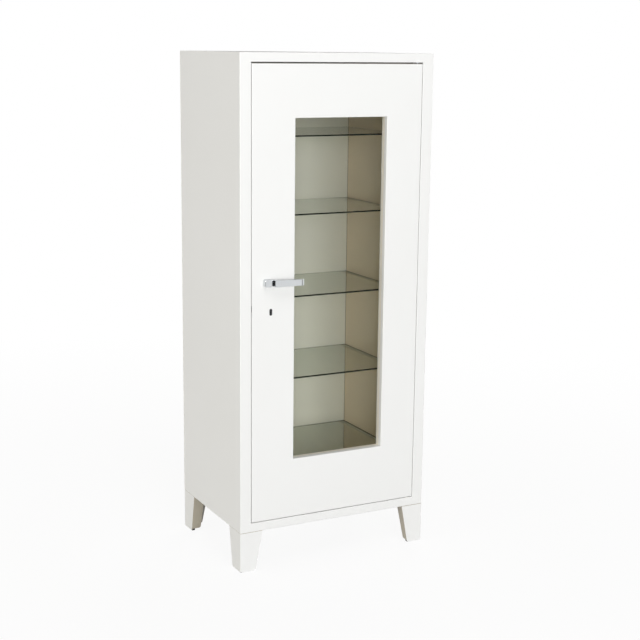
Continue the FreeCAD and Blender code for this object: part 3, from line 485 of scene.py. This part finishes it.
def finishPiece(name, shape, finish, body, replaced):
    # Turns the modelled shape into a piece that rides on a body in place of CAD nodes.
    mesh = bpy.data.meshes.new(name)
    shape.to_mesh(mesh)
    shape.free()
    mesh.materials.append(finish)
    piece = bpy.data.objects.new(name, mesh)
    bpy.context.collection.objects.link(piece)
    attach(piece, body)
    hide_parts(*replaced)
    return piece


sharpDeg = 32             # edges that turn more than this stay sharp
rimDeg = 57               # the rim of a head turns more than this


def smoothCopy(node, body, slot, crown=None):
    # The CAD piece again, with its curves shaded smooth and its flat faces kept flat. A crown
    # rounds the rims that lie furthest along an axis, as on a pan head or a rubber stop.
    shape = bmesh.new()
    shape.from_mesh(nodes[node].data)
    bmesh.ops.remove_doubles(shape, verts=shape.verts, dist=weldGap)
    if crown:
        axis, way = crown["axis"], crown["way"]
        bmesh.ops.dissolve_limit(
            shape, angle_limit=flatAngle, verts=shape.verts, edges=shape.edges
        )
        reach = max(vert.co[axis] * way for vert in shape.verts) - 10 * weldGap
        rims = [
            edge for edge in shape.edges
            if edge.calc_face_angle(0) > math.radians(rimDeg)
            and all(vert.co[axis] * way > reach for vert in edge.verts)
        ]
        bmesh.ops.bevel(
            shape, geom=rims, offset=crown["mm"] * mm, segments=crown["steps"], profile=0.5,
            affect="EDGES", material=-1,
        )
    for face in shape.faces:
        face.smooth = True
    for edge in shape.edges:
        edge.smooth = edge.is_manifold and edge.calc_face_angle() < math.radians(sharpDeg)
    piece = finishPiece(node + "_smooth", shape, finishOf[node], body, [node])
    weighted = piece.modifiers.new("flatFacesStayFlat", "WEIGHTED_NORMAL")
    weighted.keep_sharp = True
    weighted.weight = 100


def groundShelf(node):
    # The loose glass sheet with its arrises taken off and its edges ground matt.
    shape = bmesh.new()
    shape.from_mesh(nodes[node].data)
    bmesh.ops.remove_doubles(shape, verts=shape.verts, dist=weldGap)
    bmesh.ops.dissolve_limit(shape, angle_limit=flatAngle, verts=shape.verts, edges=shape.edges)
    rims = [edge for edge in shape.edges if edge.verts[0].co.z == edge.verts[1].co.z]
    bmesh.ops.bevel(
        shape, geom=rims, offset=floatGlass["arrisMm"] * mm, segments=1, profile=0.5,
        affect="EDGES", material=-1,
    )
    for face in shape.faces:
        isFlat = abs(face.normal.z) > 0.9
        face.material_index = 0 if isFlat else 1
    sheet = finishPiece(
        node + "_ground", shape, finishes["shelf"], "cabinet", [node]
    )
    sheet.data.materials.append(finishes["shelfEdge"])


shelves = ["glass_shelf_%d" % number for number in range(1, 6)]
for node in shelves:
    groundShelf(node)
print("ground the edges of", len(shelves), "glass shelves")


# Pieces that are shaded smooth. A crown's axis is 0, 1 or 2 for x, y or z, and its way is 1 or
# -1 along it.
smoothed = {
    "lever_handle": {"body": "handle", "slot": "polished_chrome"},
    "handle_rose": {"body": "door", "slot": "polished_chrome"},
    "keyhole_escutcheon": {"body": "door", "slot": "black_plastic"},
    "door_screws": {
        "body": "door", "slot": "zinc_steel",
        "crown": {"axis": 1, "way": 1, "mm": 1.4, "steps": 4},
    },
    "door_buffers": {
        "body": "cabinet", "slot": "black_rubber",
        "crown": {"axis": 1, "way": -1, "mm": 2.4, "steps": 5},
    },
    "upper_hinge_pin": {"body": "door", "slot": "zinc_steel"},
    "lower_hinge_pin": {"body": "door", "slot": "zinc_steel"},
    "top_bolt_rod": {"body": "top_rod", "slot": "zinc_steel"},
    "bottom_bolt_rod": {"body": "bottom_rod", "slot": "zinc_steel"},
    "hinge_bushes": {"body": "cabinet", "slot": "white_nylon"},
    "handle_spindle": {"body": "handle", "slot": "zinc_steel"},
    "cam_pins": {"body": "handle", "slot": "zinc_steel"},
    "thrust_washer": {"body": "cabinet", "slot": "zinc_steel"},
}
for node, choice in smoothed.items():
    smoothCopy(node, **choice)
print("smoothed", len(smoothed), "pieces")


# Camera, lamps, floor and background

camera = {
    "place": (-2.0202, -4.0077, 1.7172), "turnDeg": 27.425, "tiltDeg": 11.718,
    "rollDeg": 0.632, "lens": 74.05,
}
lamps = {
    "key": {
        "place": (-2.4, -10.8, 2.4), "aim": (0, -0.1, 0.9), "size": (7.4, 3.4), "watts": 735,
        "colour": "#FCFDFF",
    },
    "left": {
        "place": (-7.4, -1.1, 1.6), "aim": (0, 0, 0.9), "size": (1.6, 1.6), "watts": 155,
        "colour": "#FFFCF4",
    },
    "above": {
        "place": (-0.8, -3.6, 6.4), "aim": (0, 0, 0.9), "size": (2.6, 2.6), "watts": 92,
        "colour": "#FFFFFF",
    },
    "behind": {
        "place": (3.6, 4.2, 1.8), "aim": (0, 0, 0.9), "size": (2.6, 2.6), "watts": 130,
        "colour": "#FFFFFF",
    },
}
# Dark cards that only glossy rays meet: they give the bright metal its dark bands.
cards = {
    "cardLeftFront": {"place": (-1.75, -3.2, 0.45), "size": (2.4, 0.9), "turnDeg": 28},
    "cardLeft": {"place": (-2.1, -1.45, 0.6), "size": (1.0, 0.9), "turnDeg": 57},
    "cardFront": {"place": (0.12, -2.9, 0.5), "size": (0.5, 0.8), "turnDeg": -8},
    "cardBehind": {"place": (1.8, 3.4, 2.3), "size": (3.4, 2.8), "turnDeg": 28},
    "cardRight": {"place": (3.2, 0.3, 0.55), "size": (3.4, 1.3), "turnDeg": -84},
    "cardAbove": {"place": (0.6, -1.4, 3.4), "size": (2.6, 1.6), "turnDeg": 0, "lyingDeg": 90},
}
cardTone = "#1B1B1C"
studio = {
    "ambient": 0.25,
    "ambientTone": "#FFFDF9",
    "floorSeen": "#FAFAF9",        # the floor's own colour
    "floorBounce": "#B8B8B5",      # what it throws back on the cabinet
    "floorRadius": 30,
    "floorFade": 0.91,             # how much of the floor is white background near the cabinet
    "fadeFrom": 0.8,
    "fadeTo": 3.5,                 # and from here on it is all background
}

cameraData = bpy.data.cameras.new("camera")
cameraData.lens = camera["lens"]
cameraData.clip_end = 100
cameraObject = bpy.data.objects.new("camera", cameraData)
turn = Matrix.Rotation(-math.radians(camera["turnDeg"]), 4, "Z")
tilt = Matrix.Rotation(math.radians(90 - camera["tiltDeg"]), 4, "X")
roll = Matrix.Rotation(math.radians(camera["rollDeg"]), 4, "Z")
cameraObject.matrix_world = Matrix.Translation(camera["place"]) @ turn @ tilt @ roll
bpy.context.collection.objects.link(cameraObject)
bpy.context.scene.camera = cameraObject

for name, lamp in lamps.items():
    light = bpy.data.lights.new(name, "AREA")
    light.shape = "RECTANGLE"
    light.size, light.size_y = lamp["size"]
    light.energy = lamp["watts"]
    light.color = linear(lamp["colour"])[:3]
    lampObject = bpy.data.objects.new(name, light)
    lampObject.location = lamp["place"]
    towards = Vector(lamp["aim"]) - Vector(lamp["place"])
    lampObject.rotation_euler = towards.to_track_quat("-Z", "Y").to_euler()
    bpy.context.collection.objects.link(lampObject)

cardMaterial = startMaterial("blackCard", {"Base Color": linear(cardTone), "Roughness": 0.9})[0]
for name, card in cards.items():
    shape = bmesh.new()
    bmesh.ops.create_grid(shape, x_segments=1, y_segments=1, size=0.5)
    bmesh.ops.scale(shape, vec=(card["size"][0], card["size"][1], 1), verts=shape.verts)
    facing = Matrix.Rotation(-math.radians(card["turnDeg"]), 4, "Z")
    upright = Matrix.Rotation(math.radians(90 - card.get("lyingDeg", 0)), 4, "X")
    stand = Matrix.Translation(card["place"]) @ facing @ upright
    bmesh.ops.transform(shape, matrix=stand, verts=shape.verts)
    mesh = bpy.data.meshes.new(name)
    shape.to_mesh(mesh)
    shape.free()
    mesh.materials.append(cardMaterial)
    cardObject = bpy.data.objects.new(name, mesh)
    bpy.context.collection.objects.link(cardObject)
    cardObject.visible_camera = False
    cardObject.visible_diffuse = False
    cardObject.visible_shadow = False
    cardObject.visible_transmission = False


def seenDirectly(tree):
    # 1 for rays from the camera, from gloss and through glass, which see the background.
    path = addNode(tree, "LightPath")
    total = path.outputs["Is Camera Ray"]
    for name in ("Is Glossy Ray", "Is Transmission Ray"):
        total = addNode(
            tree, "Math", {"operation": "MAXIMUM"}, {0: total, 1: path.outputs[name]}
        ).outputs[0]
    return total


# The world lights the cabinet softly, and is plain white where it is seen.
world = bpy.data.worlds.new("studio")
world.use_nodes = True
bpy.context.scene.world = world
background = world.node_tree.nodes["Background"]
ambientLight = [channel * studio["ambient"] for channel in linear(studio["ambientTone"])]
skyColour = addNode(
    world.node_tree, "Mix", {"data_type": "RGBA", 6: ambientLight, 7: (1, 1, 1, 1)},
    {0: seenDirectly(world.node_tree)},
)
world.node_tree.links.new(skyColour.outputs[2], background.inputs["Color"])

floorShape = bmesh.new()
bmesh.ops.create_circle(floorShape, cap_ends=True, segments=64, radius=studio["floorRadius"])
floorMesh = bpy.data.meshes.new("floor")
floorShape.to_mesh(floorMesh)
floorShape.free()
floor = bpy.data.objects.new("floor", floorMesh)
bpy.context.collection.objects.link(floor)
floorMaterial, floorTree, floorShader = startMaterial(
    "paleStudioFloor", {"Roughness": 0.9, "Specular IOR Level": 0.1}
)
floorTone = addNode(
    floorTree, "Mix",
    {"data_type": "RGBA", 6: linear(studio["floorBounce"]), 7: linear(studio["floorSeen"])},
    {0: seenDirectly(floorTree)},
)
floorTree.links.new(floorTone.outputs[2], floorShader.inputs["Base Color"])
# Further out the floor turns into plain white light, so that it has no horizon.
floorPlace = addNode(floorTree, "TexCoord").outputs["Object"]
distance = addNode(floorTree, "VectorMath", {"operation": "LENGTH"}, {0: floorPlace})
fade = addNode(
    floorTree, "MapRange",
    {"From Min": studio["fadeFrom"], "From Max": studio["fadeTo"],
     "To Min": studio["floorFade"], "To Max": 1.0},
    {"Value": distance.outputs["Value"]},
)
shown = addNode(
    floorTree, "Math", {"operation": "MULTIPLY"},
    {0: fade.outputs["Result"], 1: seenDirectly(floorTree)},
)
glow = addNode(floorTree, "Emission", {"Color": (1, 1, 1, 1), "Strength": 1.0})
floorMix = addNode(
    floorTree, "MixShader", {},
    {0: shown.outputs[0], 1: floorShader.outputs[0], 2: glow.outputs[0]},
)
floorTree.links.new(floorMix.outputs[0], floorTree.nodes["Material Output"].inputs["Surface"])
floorMesh.materials.append(floorMaterial)

bpy.context.scene.view_settings.view_transform = "Standard"
print("camera, lamps and floor")
